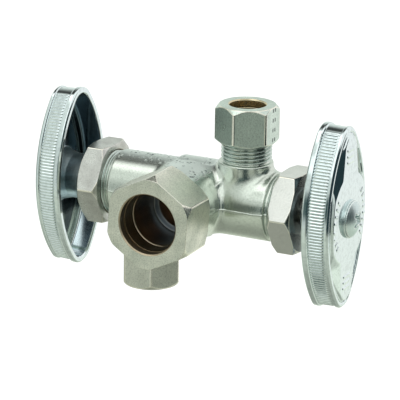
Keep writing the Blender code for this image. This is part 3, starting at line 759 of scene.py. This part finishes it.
def handwheel(turn, name, body_name):
    o = oval_samples(8)
    cy, cz, r, a, s = o.T
    n = len(o)

    def oval(d):
        return cy + (r + d) * np.cos(a), cz + (r + d) * np.sin(a)

    y0, z0 = oval(-2.0)
    phi = np.arctan2(z0, y0)
    per = 8
    ridge = 1 - (0.5 - 0.5 * np.cos(2 * math.pi * np.arange(n) / per)) ** 1.8
    tipped = 1 - step01(np.abs(z0), 23.3, 23.9)
    ys, zs, xs = [], [], []

    def push(y, z, x):
        ys.append(y)
        zs.append(z)
        xs.append(np.broadcast_to(x, (n,)).astype(float))

    # screw seat and dished face, from the middle out
    for rad, x in ((2.1, 43.0), (2.1, 45.1), (2.25, 45.3), (2.4, 45.35)):
        push(rad * np.cos(phi), rad * np.sin(phi), x)
    u_line = np.linspace(0, 1, 84)
    for u in u_line:
        y = (1 - u) * 2.8 * np.cos(phi) + u * y0
        z = (1 - u) * 2.8 * np.sin(phi) + u * z0
        push(y, z, face_height(y, z))
    rim = rounded([(45.12, -2.05, 0), (45.45, -1.6, 0.12), (45.45, -0.95, 0.3), (44.9, -0.42, 0.2), (44.3, -0.4, 0.1),
                   (44.1, -0.68, 0.08), (39.5, -0.5, 0.08), (39.25, -0.1, 0.1), (38.9, 0.0, 0.2), (37.9, 0.0, 0.35),
                   (37.5, -0.45, 0.3), (37.5, -1.5, 0.25), (37.9, -1.85, 0.2), (43.2, -2.3, 0.9), (43.6, -4.4, 0.2),
                   (44.0, -4.9, 0.2), (44.0, -5.6, 0)], support=0.06)
    fine = []
    for i, p in enumerate(rim):
        fine.append(p)
        if i + 1 < len(rim) and 39.4 < p[0] < 44.2 and rim[i + 1][0] < p[0] - 1 and p[1] > -1:
            fine += [p + (rim[i + 1] - p) * k / 10 for k in range(1, 10)]
    inner_from = hub_from = 0
    past_back = False
    for x, d in fine:
        past_back = past_back or x < 37.6
        if past_back and not inner_from and d < -1.72:
            inner_from = len(xs)
        band = float(step01(np.array(x), 39.45, 39.75) * (1 - step01(np.array(x), 43.75, 44.05))) if d > -1.2 else 0.0
        y, z = oval(d + band * ridge * tipped * 0.26)
        push(y, z, x)
    # web back to the hub
    y1, z1 = oval(-5.8)
    phi1 = np.arctan2(z1, y1)
    for u in np.linspace(0.05, 0.9, 12):
        y = (1 - u) * y1 + u * 8.6 * np.cos(phi)
        z = (1 - u) * z1 + u * 8.6 * np.sin(phi)
        push(y, z, 44.0 - 0.15 * u)
    hub = rounded([(43.85, 8.6, 0), (43.7, 7.7, 0.5), (39.6, 6.55, 0.8), (34.0, 6.5, 0.35), (34.0, 3.5, 0.2),
                   (38.0, 3.5, 0.1), (38.0, 2.6, 0.1), (43.0, 2.4, 0.1)])
    hub_from = len(xs) + 2
    for x, rad in hub:
        push(rad * np.cos(phi), rad * np.sin(phi), x)
    pts = np.stack([np.array(xs), np.array(ys), np.array(zs)], -1) + CENTRE
    v, f = grid(pts, True)
    b = Build()
    ring = np.repeat(np.arange(len(xs)), n)
    b.add(v, f, np.where(ring >= hub_from, 2, ring >= inner_from), turn)
    b.make(name + "_handwheel", body_name, [name + "_handle"],
           [CHROME, DISH, HUB if turn else SHADED_HUB])


def screw_head(x, y, z):
    """Domed cross-recess head; x runs outward from its seat."""
    r = np.hypot(y, z)
    dome = np.sqrt(y * y + z * z + (x - 49.0 + 8.2) ** 2) - 8.2
    d = smax(dome, r - 5.25, 0.25)
    d = smax(d, 47.05 - x, 0.1)
    d = smin(d, smax(r - 4.95, np.maximum(46.0 - x, x - 47.4), 0.1), 0.05)
    flange = smax(r - 5.38, np.maximum(46.0 - x, x - 46.88), 0.16)
    d = smin(d, flange, 0.08)
    deep = 49.05 - x
    half = 0.62 - 0.08 * deep
    span = 2.75 - 0.62 * deep
    floor = deep - 2.1
    a = np.maximum(np.maximum(np.abs(y + z) / math.sqrt(2) - half, np.abs(y - z) / math.sqrt(2) - span), floor)
    b = np.maximum(np.maximum(np.abs(y - z) / math.sqrt(2) - half, np.abs(y + z) / math.sqrt(2) - span), floor)
    core = np.maximum(r - (1.35 - 0.3 * deep), floor)
    return smax(d, -smin(smin(a, b, 0.15), core, 0.2), 0.12)


sv, sf = nets(screw_head, (45.6, -6.0, -6.0), (49.4, 6.0, 6.0), 0.12)
for side, turn in (("right", False), ("left", True)):
    stem_body, washer_body = side + "_stem", side + "_washer"
    handwheel(turn, side, stem_body)
    b = Build()
    b.add(sv + CENTRE, sf, 0, turn)
    v, f = lathe([(37.4, 0), (37.4, 1.2), (37.9, 1.75), (46.4, 1.75), (46.4, 0)], X_OUT, CENTRE, n=32)
    b.add(v, f, 0, turn)
    b.make(side + "_handwheel_screw", stem_body, [side + "_handle_screw"], [SCREW])

    b = Build()
    v, f = lathe([(16.8, 0), (16.8, 1.5), (12.0, 1.5), (12.0, 4.4), (12.4, 4.8), (13.2, 4.8), (13.8, 3.4), (15.2, 3.4),
                  (15.5, 4.3), (21.7, 4.3), (22.9, 3.2), (42.4, 3.2), (42.7, 2.9), (42.7, 0)], X_OUT, CENTRE, n=72)
    b.add(v, f, 0, turn)
    v, f = thread(X_OUT, CENTRE, 15.4, 22.0, 4.25, 5.05, 1.5, 4.0, n=72, per=10)
    b.add(v, f, 0, turn)
    b.make(side + "_valve_stem", stem_body, [side + "_stem"], [STEM])

    b = Build()
    v, f = lathe([(9.8, 1.55), (9.8, 5.0), (10.1, 5.3), (11.4, 5.3), (11.7, 5.0), (11.7, 1.55)], X_OUT, CENTRE, n=64,
                 closed=True)
    b.add(v, f, 0, turn)
    b.make(side + "_seat_disc", washer_body, [side + "_seat_washer"], [RUBBER])

    b = Build()
    v, f = lathe([(8.1, 0), (8.1, 1.9), (8.5, 2.5), (9.5, 2.5), (9.5, 1.25), (16.2, 1.25), (16.5, 0.9), (16.5, 0)],
                 X_OUT, CENTRE, n=48)
    b.add(v, f, 0, turn)
    b.make(side + "_seat_disc_screw", washer_body, [side + "_seat_washer_screw"], [BRASS])

    b = Build()
    v, f = lathe([(26.95, 3.5), (26.95, 6.7), (27.75, 6.7), (27.75, 3.5)], X_OUT, CENTRE, n=64, closed=True)
    b.add(v, f, 0, turn)
    b.make(side + "_packing_backing_washer", "root", [side + "_packing_washer"], [BRASS])

    b = Build()
    v, f = lathe([(28.05, 3.45), (28.05, 6.7), (30.2, 6.7), (30.6, 5.8), (30.6, 3.45)], X_OUT, CENTRE, n=64,
                 closed=True)
    b.add(v, f, 0, turn)
    b.make(side + "_graphite_packing", "root", [side + "_packing_ring"], [GRAPHITE])

    b = Build()
    v, f, m = hex_nut(33.1, 26.5, 22.2, math.pi, 11.2, 0.62, 11.5, 0.84,
                      [(33.1, 4.1, 0.15), (32.7, 3.6, 0.1), (30.9, 3.6, 0.1), (30.9, 7.4, 0.1), (29.9, 9.4, 0.1),
                       (26.5, 9.42, 0.2)], X_OUT, CENTRE, 0.55)
    b.add(v, f, m, turn)
    b.make(side + "_packing_gland_nut", "root", [side + "_packing_nut"],
           [DULL_PACKING_NUT if turn else PACKING_NUT, NUT_BORE, EDGE])

# ------------------------------------------------------------ floor and studio
scene = bpy.context.scene
scene.view_settings.view_transform = "Standard"

FLOOR_Z = CAD_LO[2] - 0.03
mesh = bpy.data.meshes.new("studio_floor")
reach = 6.0
mesh.from_pydata([(-reach, -reach, FLOOR_Z), (reach, -reach, FLOOR_Z), (reach, reach, FLOOR_Z),
                  (-reach, reach, FLOOR_Z)], [], [(0, 1, 2, 3)])
floor = bpy.data.objects.new("studio_floor", mesh)
scene.collection.objects.link(floor)
floor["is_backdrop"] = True
floor.visible_glossy = False
fmat, ft, fb = nodes_of("floor_paper", (0.95, 0.95, 0.95), 0.9, 0.0)
lit = node(ft, "ShaderNodeEmission", in_Color=(1.0, 1.0, 1.0, 1.0), in_Strength=0.8)
matte = node(ft, "ShaderNodeBsdfDiffuse", in_Color=(0.35, 0.35, 0.35, 1.0))
both = node(ft, "ShaderNodeAddShader", [(lit.outputs[0], 0), (matte.outputs[0], 1)])
clear = node(ft, "ShaderNodeBsdfTransparent")
back_side = node(ft, "ShaderNodeNewGeometry").outputs["Backfacing"]
out = ft.nodes["Material Output"]
which = node(ft, "ShaderNodeMixShader", [(back_side, 0), (both.outputs[0], 1), (clear.outputs[0], 2)])
ft.links.new(which.outputs[0], out.inputs["Surface"])
mesh.materials.append(fmat)

world = bpy.data.worlds.new("studio")
scene.world = world
world.use_nodes = True
wt = world.node_tree
bg = wt.nodes["Background"]
direction = node(wt, "ShaderNodeTexCoord").outputs["Generated"]
xyz = node(wt, "ShaderNodeSeparateXYZ", [(direction, 0)])
DX, DY, DZ = xyz.outputs
elev = math_node(wt, "MULTIPLY", math_node(wt, "ARCSINE", DZ), 180 / math.pi)       # degrees
azim = math_node(wt, "MULTIPLY", math_node(wt, "ARCTAN2", DX, math_node(wt, "MULTIPLY", DY, -1.0)), 180 / math.pi)


def elev_ramp(stops):
    """A brightness and tint by elevation, from (degrees, colour) stops."""
    t = node(wt, "ShaderNodeMapRange", [(elev, "Value")], in_1=-90.0, in_2=90.0)
    return ramp(wt, t.outputs[0], [((e + 90) / 180, c) for e, c in stops])


def tint(v, cool=0.0):
    return (v * (1 - 0.12 * cool), v, v * (1 - 0.02 * cool))


# G by elevation for each quarter of the room; the lower half is a cool buff table
def grey(rows, low=(0.93, 1.0, 0.85), high=(0.93, 1.0, 0.94)):
    out = []
    for e, g in rows:
        c = low if e < -14 else high
        c = c if g < 0.95 else (0.99, 1.0, 0.98)
        out.append((e, tuple(g * k for k in c)))
    return elev_ramp(out)


front_left = grey([(-90, 0.36), (-67, 0.36), (-60, 0.42), (-52, 0.5), (-42, 0.57), (-34, 0.66), (-23, 0.68), (-14, 0.68),
                   (8, 0.68), (20, 0.76), (31, 0.8), (46, 0.82), (51, 0.88), (54, 1.7), (67, 1.7), (74, 1.3),
                   (90, 1.3)])
front_right = grey([(-90, 0.36), (-67, 0.36), (-52, 0.5), (-34, 0.56), (-20, 0.5), (0, 0.5), (20, 0.7), (34, 1.1),
                    (50, 1.12), (57, 0.7), (66, 0.36), (74, 1.1), (90, 1.3)])
rear_left = grey([(-90, 0.36), (-66, 0.36), (-60, 0.43), (-52, 0.52), (-42, 0.66), (-32, 0.88), (-9, 0.84), (11, 0.9),
                  (21, 0.84), (33, 0.58), (43, 0.28), (50, 0.08), (62, 0.04), (68, 0.4), (77, 1.2), (90, 1.3)])
rear_right = grey([(-90, 0.36), (-60, 0.45), (-42, 0.7), (-28, 0.92), (-14, 0.96), (14, 0.97), (31, 0.98), (42, 1.02),
                   (60, 0.95), (70, 0.75), (80, 1.2), (90, 1.3)])


def between(src, a, b):
    return node(wt, "ShaderNodeMapRange", [(src, "Value")], in_1=a, in_2=b, clamp=True).outputs[0]


front = mix_colour(wt, between(DX, -0.1, 0.05), front_left, front_right)
rear = mix_colour(wt, between(DX, -0.05, 0.1), rear_left, rear_right)
sky = mix_colour(wt, between(DY, -0.16, 0.1), front, rear)


def blob(az, el, half_az, half_el, soft, soft_az=None):
    """1 inside a soft-edged window of directions, 0 outside."""
    soft_az = soft if soft_az is None else soft_az
    a = math_node(wt, "ABSOLUTE", math_node(wt, "SUBTRACT", azim, az))
    e = math_node(wt, "ABSOLUTE", math_node(wt, "SUBTRACT", elev, el))
    ma = node(wt, "ShaderNodeMapRange", [(a, "Value")], in_1=half_az + soft_az, in_2=half_az, clamp=True).outputs[0]
    me = node(wt, "ShaderNodeMapRange", [(e, "Value")], in_1=half_el + soft, in_2=half_el, clamp=True).outputs[0]
    return math_node(wt, "MULTIPLY", ma, me)


sky = mix_colour(wt, blob(9, 41.5, 37, 12.5, 3), sky, (1.25, 1.3, 1.26))     # front soft box
sky = mix_colour(wt, blob(-5, 0, 17.5, 6, 9, 3), sky, (0.06, 0.1, 0.095))    # dark gap under it, beside the camera
sky = mix_colour(wt, blob(21, -7, 10, 17, 3), sky, (0.015, 0.035, 0.04))     # camera and stand
sky = mix_colour(wt, blob(95, 4.5, 32, 23.5, 3, 5), sky, (0.02, 0.04, 0.045))    # dark side screen
sky = mix_colour(wt, blob(-92, -16, 26, 16, 12), sky, (0.31, 0.36, 0.32))    # the dim left of the table
white = node(wt, "ShaderNodeBackground", in_Color=(1.0, 1.0, 1.0, 1.0), in_Strength=1.0)
seen = node(wt, "ShaderNodeLightPath").outputs["Is Camera Ray"]
wt.links.new(sky, bg.inputs["Color"])
bg.inputs["Strength"].default_value = 1.0
mixed = node(wt, "ShaderNodeMixShader", [(seen, 0), (bg.outputs[0], 1), (white.outputs[0], 2)])
wt.links.new(mixed.outputs[0], wt.nodes["World Output"].inputs["Surface"])

# a large soft key high on the left front, for form and a faint shadow on the paper
key_data = bpy.data.lights.new("soft_key", "AREA")
key_data.shape, key_data.size, key_data.energy = "SQUARE", 0.5, 1.6
key = bpy.data.objects.new("soft_key", key_data)
key.location = (-0.35, -0.45, 0.75)
key.rotation_mode = "QUATERNION"
key.rotation_quaternion = (Vector((0, 0.03, 0)) - Vector(key.location)).to_track_quat("-Z", "Y")
scene.collection.objects.link(key)
key.visible_glossy = False

# ---------------------------------------------------------------------- camera
AZ, EL, ROLL, DIST, FOCAL_PX = 25.64, 17.53, 0.95, 618.52, 2183.21
az, el, roll = (math.radians(v) for v in (AZ, EL, ROLL))
back = Vector((math.sin(az) * math.cos(el), -math.cos(az) * math.cos(el), math.sin(el)))
right = Vector((math.cos(az), math.sin(az), 0))
up = back.cross(right)
r2 = right * math.cos(roll) + up * math.sin(roll)
u2 = -right * math.sin(roll) + up * math.cos(roll)
target = Vector((0.56, STEM_Y, -1.57)) * MM
spot = target + back * DIST * MM
cam_data = bpy.data.cameras.new("camera")
cam_data.sensor_width = 36.0
cam_data.lens = FOCAL_PX / 400 * 36.0
cam_data.clip_start, cam_data.clip_end = 0.01, 20.0
cam = bpy.data.objects.new("camera", cam_data)
cam.matrix_world = Matrix((
    (r2.x, u2.x, back.x, spot.x), (r2.y, u2.y, back.y, spot.y), (r2.z, u2.z, back.z, spot.z), (0, 0, 0, 1)))
scene.collection.objects.link(cam)
scene.camera = cam
